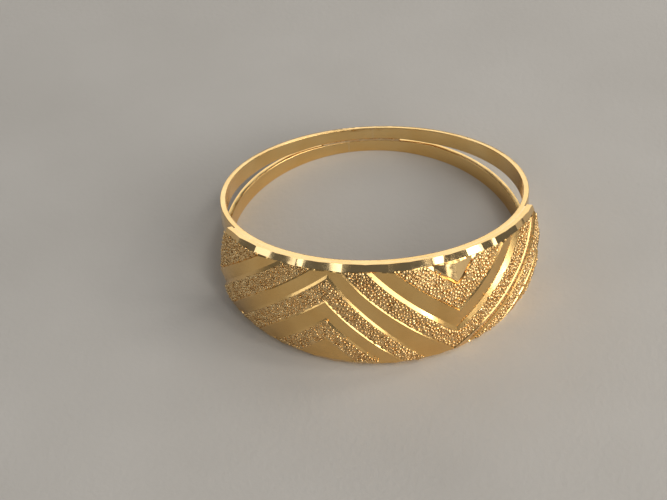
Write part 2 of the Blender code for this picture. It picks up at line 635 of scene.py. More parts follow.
class BentStripTree(ShapeTree):
    """A flat strip with eased corners, bent round an arc. Its heights follow the ring's edge and slit."""

    name = "bent_strip"
    input_types = {
        "Bore Radius": "NodeSocketFloat",
        "Thickness": "NodeSocketFloat",
        "Ease": "NodeSocketFloat",
        "Columns": "NodeSocketInt",
        "Start Angle": "NodeSocketFloat",
        "Sweep Angle": "NodeSocketFloat",
        "Mean Half Width": "NodeSocketFloat",
        "Edge Slope": "NodeSocketFloat",
        "Slit At Sides": "NodeSocketFloat",
        "Closing Depth": "NodeSocketFloat",
        "Least Gap": "NodeSocketFloat",
        "Side": "NodeSocketFloat",
        "Wave Height": "NodeSocketFloat",
        "Wave Size": "NodeSocketFloat",
        "Material": "NodeSocketMaterial",
    }
    drawn_height = 1.0 * MM
    corner_steps = 4

    def build(self) -> Any:
        """Sweeps the eased section, then moves each point to its own height.

        Returns:
            The strip's socket.
        """
        bench = self.bench
        values = self.inputs
        half_thickness = bench.math("DIVIDE", values["Thickness"], 2.0)
        middle = bench.math("ADD", values["Bore Radius"], half_thickness)
        arc = bench.add(
            "GeometryNodeCurveArc",
            {
                "Resolution": values["Columns"],
                "Radius": middle,
                "Start Angle": values["Start Angle"],
                "Sweep Angle": values["Sweep Angle"],
            },
            mode="RADIUS",
        )
        rectangle = bench.add(
            "GeometryNodeCurvePrimitiveQuadrilateral",
            {"Width": values["Thickness"], "Height": self.drawn_height},
        )
        eased = bench.add(
            "GeometryNodeFilletCurve",
            {"Curve": rectangle.outputs[0], "Count": self.corner_steps, "Radius": values["Ease"]},
            mode="POLY",
        )
        swept = bench.add(
            "GeometryNodeCurveToMesh",
            {"Curve": arc.outputs[0], "Profile Curve": eased.outputs[0], "Fill Caps": True},
        )
        place = bench.add("GeometryNodeInputPosition").outputs[0]
        parts = bench.add("ShaderNodeSeparateXYZ", {0: place}).outputs
        fall = bench.math("MULTIPLY", values["Edge Slope"], parts[1])
        far = bench.math("SUBTRACT", values["Mean Half Width"], fall)
        opened = bench.math("SUBTRACT", 1.0, bench.math("DIVIDE", parts[1], values["Closing Depth"]))
        gap = bench.math("MULTIPLY", bench.math("MULTIPLY", values["Slit At Sides"], 0.5), opened)
        near = bench.math("MAXIMUM", gap, values["Least Gap"])
        half = self.drawn_height / 2
        from_far = bench.math("ADD", far, bench.math("SUBTRACT", parts[2], half))
        from_near = bench.math("ADD", near, bench.math("ADD", parts[2], half))
        above = bench.math("GREATER_THAN", parts[2], 0.0)
        height = bench.add("ShaderNodeMix", {0: above, 2: from_near, 3: from_far}).outputs[0]
        sided = bench.math("MULTIPLY", height, values["Side"])
        target = bench.add("ShaderNodeCombineXYZ", {0: parts[0], 1: parts[1], 2: sided}).outputs[0]
        shaped = bench.add("GeometryNodeSetPosition", {"Geometry": swept.outputs[0], "Position": target})
        below = bench.math("LESS_THAN", values["Side"], 0.0)
        turned = bench.add("GeometryNodeFlipFaces", {"Mesh": shaped.outputs[0], "Selection": below})
        smooth = bench.add("GeometryNodeSetShadeSmooth", {"Geometry": turned.outputs[0]})
        return self.polished(smooth.outputs[0])

    def polished(self, shape: Any) -> Any:
        """Adds the slight waves of hand polishing along the surface's own normal.

        Args:
            shape: socket with the smooth strip.

        Returns:
            The polished strip's socket.
        """
        bench = self.bench
        place = bench.add("GeometryNodeInputPosition").outputs[0]
        scale = bench.math("DIVIDE", 1.0, self.inputs["Wave Size"])
        waves = bench.add("ShaderNodeTexNoise", {"Vector": place, "Scale": scale, "Detail": 0.0}).outputs[0]
        lift = bench.math("MULTIPLY", bench.math("SUBTRACT", waves, 0.5), self.inputs["Wave Height"])
        normal = bench.add("GeometryNodeInputNormal").outputs[0]
        offset = bench.add("ShaderNodeVectorMath", {0: normal, "Scale": lift}, operation="SCALE").outputs[0]
        return bench.add("GeometryNodeSetPosition", {"Geometry": shape, "Offset": offset}).outputs[0]


@dataclass
class HoopPair:
    """The two thin hoops and the joints that close them."""

    sizes: RingSizes
    finishes: Finishes
    columns: int = 420
    joint_columns: int = 7
    wave_height: float = 0.02 * MM
    wave_size: float = 3.2 * MM
    joint_wave_height: float = 0.015 * MM
    joint_wave_size: float = 0.25 * MM
    joint_overlap: float = 0.004 * MM

    def build(self, placement: Matrix) -> None:
        """Makes both hoops and both butt joints.

        Args:
            placement: move from the ring frame to the shared frame.
        """
        tree = BentStripTree()
        gold = self.finishes.hoop.build()
        solder = self.finishes.filed_solder.build()
        sizes = self.sizes
        butts = {Edge.UPPER: sizes.upper_butt_angle, Edge.LOWER: sizes.lower_butt_angle}
        half_joint = sizes.butt_solder_width / 2 / sizes.bore_radius
        half_gap = half_joint + self.joint_overlap / sizes.bore_radius
        for edge, butt in butts.items():
            name = edge.name.lower() + "_hoop"
            strip = self.strip_values(edge, butt + half_gap, math.tau - 2 * half_gap, self.columns, gold)
            mesh = tree.mesh(name + "_visual", strip)
            mesh.transform(placement)
            add_piece(name + "_polished", mesh, Slot.HOOP, name)
            joint = self.strip_values(edge, butt - half_joint, 2 * half_joint, self.joint_columns, solder)
            joint["Wave Height"] = self.joint_wave_height
            joint["Wave Size"] = self.joint_wave_size
            mesh = tree.mesh(name + "_joint_visual", joint)
            mesh.transform(placement)
            add_piece(name + "_butt_joint", mesh, Slot.SOLDER, name + "_butt_solder")

    def strip_values(self, edge: Edge, start: float, sweep: float, columns: int, gold: Any) -> dict[str, Any]:
        """The tree's inputs for one strip.

        Args:
            edge: which hoop the strip belongs to.
            start: angle of the strip's first end.
            sweep: angle from its first to its last end.
            columns: number of sections.
            gold: the material.

        Returns:
            The value of each named input.
        """
        sizes = self.sizes
        return {
            "Bore Radius": sizes.bore_radius,
            "Thickness": sizes.strip_thickness,
            "Ease": sizes.hoop_ease,
            "Columns": columns,
            "Start Angle": start - math.pi / 2,
            "Sweep Angle": sweep,
            "Mean Half Width": sizes.mean_half_width,
            "Edge Slope": sizes.edge_slope,
            "Slit At Sides": sizes.slit_at_sides,
            "Closing Depth": sizes.closing_depth,
            "Least Gap": sizes.least_gap,
            "Side": float(edge.value),
            "Wave Height": self.wave_height,
            "Wave Size": self.wave_size,
            "Material": gold,
        }


# --- Front plate ---


@dataclass(frozen=True)
class BrightCut:
    """One bright-cut stripe: its walls' widths, its level, and how its flat lies.

    The flat leans by that much from its upper to its lower side. Its crown is how fast it falls off for each
    radian away from its mitre, as far as crown_reach. The lower wall widens for each radian past the valley.
    """

    upper_wall: float
    lower_wall: float
    level: float
    lean: float
    crown: float = 0.0
    crown_reach: float = math.radians(8.0)
    widening: float = 0.0

    def lower_width(self, past_valley: float) -> float:
        """Width of the lower wall at an angle past the valley."""
        return self.lower_wall + self.widening * max(0.0, past_valley)

    def levels(self, away: float) -> tuple[float, float]:
        """Levels of the flat's upper and lower side, at an angle away from the stripe's mitre."""
        drop = self.crown * min(abs(away), self.crown_reach)
        return self.level + self.lean / 2 - drop, self.level - self.lean / 2 - drop


@dataclass(frozen=True)
class Zigzag:
    """The stripe lines. Each line rises to a peak at one angle and falls to a valley at another.

    Line n divides region n from region n + 1, counted down from the top. Even regions are bright cuts, and
    odd regions are stippled. Where a line leaves the plate below the valley, its two arms aim at different
    heights, and the top line's left arm is lifted clear of the plate's corner. Heights are in millimetres.
    """

    peak_angle: float = math.radians(-21.0)
    valley_angle: float = math.radians(21.2)
    peak_heights: tuple[float, ...] = (7.9, 6.4, 5.1, 3.83, 2.65, 1.36, 0.0, -1.28)
    valley_heights: tuple[float, ...] = (1.70, 0.13, -1.54, -2.90, -5.0, -6.2, -7.85, -9.5)
    right_valley_heights: tuple[float, ...] = (1.70, 0.13, -1.54, -2.90, -4.0, -5.4, -6.8, -8.2)
    left_top_lift: float = 1.0
    left_slope: float = 7.96 * MM
    right_slope: float = 7.45 * MM

    def arms(self, half_span: float) -> list[tuple[float, float]]:
        """First and last angle of each arm of the zigzag."""
        stops = (-half_span, self.peak_angle, self.valley_angle, half_span)
        return list(zip(stops, stops[1:]))

    def lines(self, angle: float, arm: Arm) -> list[float]:
        """Heights of all lines at an angle, highest first.

        Args:
            angle: angle round the ring.
            arm: the arm it lies in, because both arms meet at a mitre.

        Returns:
            One height for each line.
        """
        if arm is Arm.LEFT:
            rise = self.left_slope * (angle - self.peak_angle)
            heights = (self.peak_heights[0] + self.left_top_lift, *self.peak_heights[1:])
            return [height * MM + rise for height in heights]
        if arm is Arm.RIGHT:
            rise = self.right_slope * (angle - self.valley_angle)
            return [height * MM + rise for height in self.right_valley_heights]
        share = (angle - self.peak_angle) / (self.valley_angle - self.peak_angle)
        pairs = zip(self.peak_heights, self.valley_heights)
        return [(peak + (valley - peak) * share) * MM for peak, valley in pairs]


@dataclass(frozen=True)
class FacetCorner:
    """A corner between two edge cuts: its angle, its radius at the rim and its reach down the dome."""

    angle: float
    radius: float
    reach: float


@dataclass(frozen=True)
class FacetRow:
    """The row of small flat cuts along one long edge. The first are long scoops and the last are short."""

    sizes: RingSizes
    edge: Edge
    count: int = 19
    longest: float = math.radians(9.2)
    shortest: float = math.radians(5.2)
    corner_play: float = 0.035 * MM
    foot_play: float = 0.04 * MM
    scoop: float = 0.022 * MM
    foot_drop: float = 0.03 * MM
    seed: int = 11

    def corners(self) -> list[FacetCorner]:
        """Corners between the cuts.

        Returns:
            The corners, from the left end to the right. The lower edge has its long cuts at the right end.
        """
        sizes = self.sizes
        draw = random.Random(self.seed * self.edge.value)
        shortening = (self.shortest - self.longest) / (self.count - 1)
        lengths = [self.longest + shortening * index for index in range(self.count)]
        if self.edge is Edge.LOWER:
            lengths.reverse()
        scale = 2 * sizes.half_span / sum(lengths)
        angle = -sizes.half_span
        found = []
        for length in [*lengths, 0.0]:
            share = abs(angle) / sizes.half_span
            depth = sizes.facet_depth_centre + (sizes.facet_depth_end - sizes.facet_depth_centre) * share
            radius = sizes.seat_radius + sizes.plate_sheet - depth + draw.uniform(-1, 1) * self.corner_play
            reach = sizes.facet_height + draw.uniform(-1, 1) * self.foot_play
            found.append(FacetCorner(angle, radius, reach))
            angle += length * scale
        return found

    def points(self, angle: float, corners: list[FacetCorner]) -> tuple[Vector, Vector]:
        """The cut's foot on the dome and its edge at the rim.

        Args:
            angle: angle round the ring.
            corners: the row's corners.

        Returns:
            The foot point and the edge point, in the ring frame.
        """
        last = len(corners) - 2
        index = next((number for number in range(last) if angle < corners[number + 1].angle), last)
        start, stop = corners[index], corners[index + 1]
        length = stop.angle - start.angle
        share = (angle - start.angle) / length
        hollow = self.scoop * 4 * share * (1 - share) * length / self.longest
        inward = RingFrame.point(1.0, angle, 0.0) * -hollow
        foot = self.foot(start).lerp(self.foot(stop), share) + inward
        rim = self.rim(start).lerp(self.rim(stop), share) + inward
        rim.z = self.edge.value * (self.sizes.mean_half_width - self.sizes.edge_slope * rim.y)
        return foot, rim

    def foot(self, corner: FacetCorner) -> Vector:
        """Where a corner's cut runs out on the dome.

        Args:
            corner: the corner.

        Returns:
            The point, in the ring frame.
        """
        sizes = self.sizes
        height = sizes.edge_height(sizes.seat_radius, corner.angle) - corner.reach
        outside = sizes.seat_radius + sizes.dome_rise(height, corner.angle) + sizes.plate_sheet
        return RingFrame.point(outside - self.foot_drop, corner.angle, self.edge.value * height)

    def rim(self, corner: FacetCorner) -> Vector:
        """Where a corner's cut meets the flat edge."""
        height = self.sizes.edge_height(corner.radius, corner.angle)
        return RingFrame.point(corner.radius, corner.angle, self.edge.value * height)


class StippleTree(ShapeTree):
    """Grains scattered over a bed, each turned to the surface and of its own size."""

    name = "stipple"
    takes_mesh = True
    input_types = {
        "Spacing": "NodeSocketFloat",
        "Grain Radius": "NodeSocketFloat",
        "Smallest": "NodeSocketFloat",
        "Largest": "NodeSocketFloat",
        "Seed": "NodeSocketInt",
        "Material": "NodeSocketMaterial",
    }
    tries_per_square_metre = 2.2e8
    grain_segments = 8
    grain_rings = 4
    flattening = 0.6

    def build(self) -> Any:
        """Scatters the grains.

        Returns:
            The socket that holds them as instances.
        """
        bench = self.bench
        values = self.inputs
        places = bench.add(
            "GeometryNodeDistributePointsOnFaces",
            {
                "Mesh": values["Geometry"],
                "Distance Min": values["Spacing"],
                "Density Max": self.tries_per_square_metre,
                "Seed": values["Seed"],
            },
            distribute_method="POISSON",
        )
        grain = bench.add(
            "GeometryNodeMeshUVSphere",
            {"Segments": self.grain_segments, "Rings": self.grain_rings, "Radius": values["Grain Radius"]},
        )
        rounded = bench.add("GeometryNodeSetShadeSmooth", {"Geometry": grain.outputs[0]})
        smallest, largest = values["Smallest"], values["Largest"]
        width, length, depth = (self.chance(smallest, largest, draw) for draw in (1, 2, 3))
        height = bench.math("MULTIPLY", depth, self.flattening)
        size = bench.add("ShaderNodeCombineXYZ", {0: width, 1: length, 2: height}).outputs[0]
        return bench.add(
            "GeometryNodeInstanceOnPoints",
            {
                "Points": places.outputs["Points"],
                "Instance": rounded.outputs[0],
                "Rotation": places.outputs["Rotation"],
                "Scale": size,
            },
        ).outputs[0]

    def chance(self, low: Any, high: Any, offset: int) -> Any:
        """A random number for each grain.

        Args:
            low: socket with the smallest number.
            high: socket with the largest number.
            offset: added to the tree's seed, so that two draws differ.

        Returns:
            The number's socket.
        """
        seed = self.bench.math("ADD", self.inputs["Seed"], float(offset))
        node = self.bench.add("FunctionNodeRandomValue", {2: low, 3: high, "Seed": seed}, data_type="FLOAT")
        return node.outputs[1]


@dataclass
class FrontPlate:
    """The domed sheet with its cut stripes, stippled beds and faceted edges."""

    sizes: RingSizes
    finishes: Finishes
    zigzag: Zigzag = field(default_factory=Zigzag)
    column_step: float = math.radians(0.6)
    margin: float = 0.07 * MM
    bed_level: float = -0.045 * MM
    bed_unevenness: float = 0.012 * MM
    bed_lump_size: float = 0.16 * MM
    bed_rows: int = 6
    bed_border: float = 0.06 * MM
    no_grains: int = -1
    inner_rows: int = 17
    beyond: float = 14.0 * MM
    trim_tolerance: float = 1e-6
    join_distance: float = 1e-3
    sharp_angle: float = math.radians(3.5)
    grain_spacing: float = 0.155 * MM
    grain_radius: float = 0.12 * MM
    smallest_grain: float = 0.45
    largest_grain: float = 1.3
    groove_level: float = -0.13 * MM
    cuts: tuple[BrightCut, ...] = (
        BrightCut(0.0, 0.24 * MM, 0.09 * MM, 0.0, crown=1.8 * MM),
        BrightCut(0.08 * MM, 0.26 * MM, -0.06 * MM, 0.20 * MM, widening=0.60 * MM),
        BrightCut(0.09 * MM, 0.17 * MM, -0.05 * MM, 0.13 * MM),
        BrightCut(0.09 * MM, 0.15 * MM, -0.05 * MM, 0.12 * MM),
        BrightCut(0.10 * MM, 0.0, -0.02 * MM, 0.0, crown=0.40 * MM),
    )

    def build(self, placement: Matrix) -> None:
        """Makes the plate and its grains.

        Args:
            placement: move from the ring frame to the shared frame.
        """
        facets = {edge: FacetRow(self.sizes, edge) for edge in Edge}
        corners = {edge: row.corners() for edge, row in facets.items()}
        arms = self.arm_columns(corners)
        sheet = bmesh.new()
        band_layer = sheet.faces.layers.int.new("band")
        self.lay_stripes(sheet, band_layer, arms)
        chains, flat = self.trim(sheet)
        self.bend(sheet, flat)
        beds = self.bed_meshes(sheet, band_layer, placement)
        columns = sorted({angle for arm in arms for angle in arm})
        self.close(sheet, chains, flat, columns, facets, corners)
        mesh = bpy.data.meshes.new("front_plate_visual")
        sheet.to_mesh(mesh)
        sheet.free()
        mesh.transform(placement)
        mesh.shade_smooth()
        mesh.set_sharp_from_angle(angle=self.sharp_angle)
        self.dress(mesh)
        add_piece("front_plate_cut_sheet", mesh, Slot.PLATE, "front_plate")
        self.scatter(beds)

    def dress(self, mesh: bpy.types.Mesh) -> None:
        """Gives the plate its finishes, in the order of Surface.

        Args:
            mesh: the plate's mesh.
        """
        finishes = self.finishes
        for finish in (finishes.bright_cut, finishes.stipple, finishes.facet, finishes.hoop):
            mesh.materials.append(finish.build())

    def arm_columns(self, corners: dict[Edge, list[FacetCorner]]) -> list[list[float]]:
        """Angles of the columns in each arm, which take in every facet corner.

        Args:
            corners: the facet corners of both edges.

        Returns:
            Sorted angles for each arm of the zigzag.
        """
        facet_angles = [corner.angle for row in corners.values() for corner in row]
        arms = []
        for first, last in self.zigzag.arms(self.sizes.half_span):
            wanted = [angle for angle in facet_angles if first < angle < last]
            regular = even_steps(first, last, self.column_step)
            apart = self.column_step / 3
            kept = [angle for angle in regular if all(abs(angle - other) > apart for other in wanted)]
            angles = sorted({first, last, *wanted, *kept})
            arms.append(angles)
        return arms

    def rows(self, angle: float, arm: Arm) -> list[tuple[float, float]]:
        """Height and level of each row of the relief at one column, from the top down.

        Args:
            angle: the column's angle.
            arm: the arm it lies in.

        Returns:
            Pairs of height and level, the same number at each column.
        """
        zigzag = self.zigzag
        lines = zigzag.lines(angle, arm)
        top_level = self.cuts[0].levels(angle - zigzag.valley_angle)[1]
        found = [(lines[0] + self.beyond, top_level), (lines[0] + self.cuts[0].lower_wall, top_level)]
        for number, line in enumerate(lines):
            found.append((line, self.groove_level if number == 0 else self.bed_level))
            if number % 2 == 0:
                high, low = line - self.bed_border, lines[number + 1] + self.bed_border
                for step in range(self.bed_rows + 1):
                    height = high + (low - high) * step / self.bed_rows
                    found.append((height, self.bed_height(angle, height)))
                continue
            cut = self.cuts[(number + 1) // 2]
            upper, lower = cut.levels(angle - zigzag.peak_angle)
            found.append((line - cut.upper_wall, upper))
            if number + 1 < len(lines):
                found.append((lines[number + 1] + cut.lower_width(angle - zigzag.valley_angle), lower))
            else:
                found.append((line - self.beyond, lower))
        return found

    def bed_height(self, angle: float, height: float) -> float:
        """Level of the uneven stippled bed at one place."""
        spot = Vector((angle * self.sizes.seat_radius, height, 0.0)) / self.bed_lump_size
        return self.bed_level + self.bed_unevenness * noise.noise(spot)

    def row_surfaces(self) -> list[tuple[Surface, int]]:
        """Finish and region number between each row and the next, from the top down.

        Returns:
            A pair for each strip between two rows.
        """
        found = [(Surface.FACET, 0), (Surface.FACET, 0)]
        for number in range(len(self.zigzag.peak_heights)):
            region = number + 1
            if number % 2 == 0:
                border = [(Surface.STIPPLED, self.no_grains)]
                found.extend([*border, *[(Surface.STIPPLED, region)] * self.bed_rows, *border])
            else:
                last = region == len(self.zigzag.peak_heights)
                found.extend([(Surface.BRIGHT_CUT, region)] * (2 if last else 3))
        return found

    def top(self, angle: float) -> float:
        """Height of the pattern's upper border."""
        sizes = self.sizes
        return sizes.edge_height(sizes.seat_radius, angle) - sizes.facet_height - self.margin

    def lay_stripes(self, sheet: bmesh.types.BMesh, band_layer: Any, arms: list[list[float]]) -> None:
        """Lays the relief out flat: x is the angle, y a share of the border's height, z the level in mm.

        Args:
            sheet: the mesh to fill.
            band_layer: face layer that takes the region number.
            arms: the columns of each arm.
        """
        surfaces = self.row_surfaces()
        for arm, angles in zip(Arm, arms):
            columns = []
            for angle in angles:
                top = self.top(angle)
                rows = self.rows(angle, arm)
                columns.append([sheet.verts.new((angle, height / top, level / MM)) for height, level in rows])
            for column, following in zip(columns, columns[1:]):
                for row, (surface, region) in enumerate(surfaces):
                    corners = (column[row], column[row + 1], following[row + 1], following[row])
                    face = sheet.faces.new(corners)
                    face.material_index = surface.value
                    face[band_layer] = region

    def trim(self, sheet: bmesh.types.BMesh) -> tuple[dict[Edge, list[Any]], dict[Any, Vector]]:
        """Trims the flat relief to the pattern's borders and joins its arms.

        Args:
            sheet: the flat relief.

        Returns:
            The vertices along each border, from left to right, and every vertex's place on the flat layout.
        """
        for edge in Edge:
            bmesh.ops.bisect_plane(
                sheet,
                geom=[*sheet.verts, *sheet.edges, *sheet.faces],
                dist=self.trim_tolerance,
                plane_co=(0.0, edge.value, 0.0),
                plane_no=(0.0, edge.value, 0.0),
                clear_outer=True,
            )
        bmesh.ops.remove_doubles(sheet, verts=sheet.verts, dist=self.join_distance)
        flat = {vert: vert.co.copy() for vert in sheet.verts}
        chains = {}
        for edge in Edge:
            lines = [line for line in sheet.edges if line.is_boundary and self.on_border(line, flat, edge)]
            border = {vert for line in lines for vert in line.verts}
            chains[edge] = sorted(border, key=lambda vert: flat[vert].x)
        return chains, flat

    @staticmethod
    def on_border(line: bmesh.types.BMEdge, flat: dict[Any, Vector], edge: Edge) -> bool:
        """Whether a boundary line of the flat relief lies along a long border, and not along an end.

        Args:
            line: the boundary line.
            flat: each vertex's place on the flat layout.
            edge: the long border.

        Returns:
            True on that border.
        """
        first, second = (flat[vert] for vert in line.verts)
        along = abs(first.x - second.x) > abs(first.y - second.y)
        return along and min(first.y * edge.value, second.y * edge.value) > BORDER_SHARE

    def bend(self, sheet: bmesh.types.BMesh, flat: dict[Any, Vector]) -> None:
        """Bends the flat relief on to the dome.

        Args:
            sheet: the relief.
            flat: each vertex's place on the flat layout.
        """
        sizes = self.sizes
        for vert in sheet.verts:
            angle, share, level = flat[vert]
            height = share * self.top(angle)
            radius = sizes.seat_radius + sizes.dome_rise(height, angle) + sizes.plate_sheet + level * MM
            vert.co = RingFrame.point(radius, self.bowed(angle, height), height)

    def bowed(self, angle: float, height: float) -> float:
        """The angle after the plate's ends bulge outwards at mid height.

        Args:
            angle: angle round the ring on the flat layout.
            height: height above the mid-plane.

        Returns:
            The angle on the bent plate.
        """
        sizes = self.sizes
        half_width = sizes.edge_height(sizes.seat_radius, angle)
        return angle * (1 + sizes.end_bow / sizes.half_span * max(0.0, 1 - (height / half_width) ** 2))

    def bed_meshes(
        self, sheet: bmesh.types.BMesh, band_layer: Any, placement: Matrix
    ) -> dict[int, bpy.types.Mesh]:
        """Copies each stippled region as its own open mesh.

        Args:
            sheet: the bent relief.
            band_layer: face layer with the region numbers.
            placement: move from the ring frame to the shared frame.

        Returns:
            A mesh for each stippled region.
        """
        beds = {}
        for region in range(1, len(self.zigzag.peak_heights), 2):
            faces = [face for face in sheet.faces if face[band_layer] == region]
            verts = list(dict.fromkeys(vert for face in faces for vert in face.verts))
            places = {vert: index for index, vert in enumerate(verts)}
            bed = bpy.data.meshes.new(f"bed_{region}")
            rings = [[places[vert] for vert in face.verts] for face in faces]
            bed.from_pydata([placement @ vert.co for vert in verts], [], rings)
            beds[region] = bed
        return beds

    def close(
        self,
        sheet: bmesh.types.BMesh,
        chains: dict[Edge, list[Any]],
        flat: dict[Any, Vector],
        columns: list[float],
        facets: dict[Edge, FacetRow],
        corners: dict[Edge, list[FacetCorner]],
    ) -> None:
        """Adds the faceted edges, the flat rims, the inside and the two ends.

        Args:
            sheet: the bent relief, which becomes a closed shell.
            chains: border vertices of the relief.
            flat: places of the relief's vertices on the flat layout.
            columns: angles of the inside's columns.
            facets: the facet row of each edge.
            corners: the facet corners of each edge.
        """
        sizes = self.sizes
        seats = {}
        for edge, chain in chains.items():
            rows = [chain, [], [], []]
            for vert in chain:
                angle = flat[vert].x
                foot, rim = facets[edge].points(angle, corners[edge])
                seat = RingFrame.point(sizes.seat_radius, angle, 0.0)
                seat.z = edge.value * sizes.edge_height(sizes.seat_radius, angle)
                for row, place in zip(rows[1:], (foot, rim, seat)):
                    row.append(sheet.verts.new(place))
            kinds = (Surface.BRIGHT_CUT, Surface.FACET, Surface.PLAIN)
            for first, second, kind in zip(rows, rows[1:], kinds):
                for index in range(len(chain) - 1):
                    ring = (first[index], first[index + 1], second[index + 1], second[index])
                    sheet.faces.new(ring).material_index = kind.value
            spots = [flat[vert].x for vert in chain]
            seats[edge] = (rows[-1], [self.nearest(spots, angle) for angle in columns])
        self.line_inside(sheet, seats, columns)
        open_edges = [line for line in sheet.edges if line.is_boundary]
        ends = bmesh.ops.edgeloop_fill(sheet, edges=open_edges)["faces"]
        for face in ends:
            face.material_index = Surface.PLAIN.value
        bmesh.ops.triangulate(sheet, faces=ends)
        bmesh.ops.recalc_face_normals(sheet, faces=sheet.faces)

    @staticmethod
    def nearest(spots: list[float], angle: float) -> int:
        """Index of the spot nearest to an angle."""
        return min(range(len(spots)), key=lambda index: abs(spots[index] - angle))

    def line_inside(self, sheet: bmesh.types.BMesh, seats: dict[Edge, Any], columns: list[float]) -> None:
        """Adds the inside of the sheet between the two seats.

        Args:
            sheet: the shell being closed.
            seats: for each edge its seat vertices and the index of each column's vertex among them.
            columns: angles of the columns.
        """
        sizes = self.sizes
        lines = []
        for angle in columns:
            half_width = sizes.edge_height(sizes.seat_radius, angle)
            line = []
            for row in range(self.inner_rows):
                height = half_width * (2 * (row + 1) / (self.inner_rows + 1) - 1)
                radius = sizes.seat_radius + sizes.dome_rise(height, angle)
                line.append(sheet.verts.new(RingFrame.point(radius, self.bowed(angle, height), height)))
            lines.append(line)
        for column, (line, following) in enumerate(zip(lines, lines[1:])):
            for row in range(self.inner_rows - 1):
                ring = (line[row], following[row], following[row + 1], line[row + 1])
                sheet.faces.new(ring).material_index = Surface.PLAIN.value
            for edge, row in ((Edge.LOWER, 0), (Edge.UPPER, -1)):
                seat, stops = seats[edge]
                between = seat[stops[column] : stops[column + 1] + 1]
                ring = (line[row], *between, following[row])
                sheet.faces.new(ring).material_index = Surface.PLAIN.value

    def scatter(self, beds: dict[int, bpy.types.Mesh]) -> None:
        """Scatters grains over the stippled regions.

        Args:
            beds: a mesh for each region.
        """
        tree = StippleTree()
        gold = self.finishes.stipple.build()
        for region, bed in beds.items():
            values = {
                "Spacing": self.grain_spacing,
                "Grain Radius": self.grain_radius,
                "Smallest": self.smallest_grain,
                "Largest": self.largest_grain,
                "Seed": region,
                "Material": gold,
            }
            mesh = tree.mesh(f"stipple_{region}_visual", values, bed)
            add_piece(f"front_plate_stipple_{region}", mesh, Slot.PLATE)


# --- Solder ---


@dataclass
class SolderSeams:
    """The seam between the hoops at the back, and the fillets between the hoops and the plate."""

    sizes: RingSizes
    finishes: Finishes
    column_step: float = math.radians(0.7)
    seam_bulge: float = 0.018 * MM
    seam_overlap: float = 0.004 * MM
    lump_size: float = 0.5 * MM
    outside_lumps: float = 7.0
    edge_lumps: float = 3.0
    fillet_waviness: float = 0.08
    fillet_clearance: float = 0.001 * MM
    fillet_rows: int = 5
    fillet_hollow: float = 0.06 * MM
    sharp_angle: float = math.radians(40.0)

    def build(self, placement: Matrix) -> None:
        """Makes the seam and both fillets.

        Args:
            placement: move from the ring frame to the shared frame.
        """
        filed = self.finishes.filed_solder.build()
        pieces = [("back_seam_solder", self.seam_sections(), self.finishes.solder.build())]
        for edge in Edge:
            pieces.append((edge.name.lower() + "_plate_solder", self.fillet_sections(edge), filed))
        for name, sections, gold in pieces:
            mesh = swept_mesh(name + "_visual", sections, self.sharp_angle)
            mesh.transform(placement)
            mesh.materials.append(gold)
            add_piece(name.replace("_solder", "_joint"), mesh, Slot.SOLDER, name)

    def lump(self, angle: float, offset: float) -> float:
        """A smooth number between about -1 and 1 that drifts along a joint."""
        return noise.noise(Vector((angle * self.sizes.bore_radius / self.lump_size, offset, 0.0)))

    def seam_sections(self) -> list[list[Vector]]:
        """Sections of the back seam, a little proud of both faces in its middle.

        Returns:
            Closed rings of points from one end of the seam to the other.
        """
        sizes = self.sizes
        reach = sizes.seam_half_angle + sizes.seam_solder_run_on
        sections = []
        for angle in even_steps(math.pi - reach, math.pi + reach, self.column_step):
            inside = self.seam_bulge * (0.5 + 0.5 * self.lump(angle, 0.0))
            outside = self.seam_bulge * (0.5 + 0.5 * self.lump(angle, self.outside_lumps))
            half = sizes.least_gap + self.seam_overlap
            profile = (
                (sizes.bore_radius, -half),
                (sizes.bore_radius - inside, -half / 2),
                (sizes.bore_radius - inside, half / 2),
                (sizes.bore_radius, half),
                (sizes.outer_radius, half),
                (sizes.outer_radius + outside, half / 2),
                (sizes.outer_radius + outside, -half / 2),
                (sizes.outer_radius, -half),
            )
            sections.append([RingFrame.point(radius, angle, height) for radius, height in profile])
        return sections

    def fillet_sections(self, edge: Edge) -> list[list[Vector]]:
        """Sections of one plate fillet, hollow where it faces the gap behind the plate.

        Args:
            edge: the long edge it lies along.

        Returns:
            Closed rings of points from one end of the plate to the other.
        """
        sizes = self.sizes
        reach = sizes.half_span - sizes.fillet_end_setback
        sections = []
        for angle in even_steps(-reach, reach, self.column_step):
            half_width = sizes.edge_height(sizes.seat_radius, angle)
            outer, inner = [], []
            for row in range(self.fillet_rows):
                share = row / (self.fillet_rows - 1)
                lumps = self.lump(angle, self.edge_lumps * edge.value) * (1 - share)
                lumps *= self.fillet_waviness * sizes.fillet_height
                height = half_width - sizes.fillet_height * (1 - share) + lumps
                rise = sizes.dome_rise(height, angle)
                outside = sizes.seat_radius + rise - self.fillet_clearance
                outer.append(RingFrame.point(outside, angle, edge.value * height))
                inside = sizes.outer_radius + self.fillet_clearance
                lowered = min(height, half_width - sizes.hoop_ease)
                inner.append(RingFrame.point(inside, angle, edge.value * lowered))
            corner_radius = sizes.outer_radius - sizes.hoop_ease
            corner_height = sizes.edge_height(corner_radius, angle)
            corner = RingFrame.point(corner_radius, angle, edge.value * corner_height)
            hollow = outer[0].lerp(inner[0], 0.5)
            hollow.z += edge.value * self.fillet_hollow
            sections.append([*outer, corner, *reversed(inner), hollow])
        return sections


# --- Studio ---


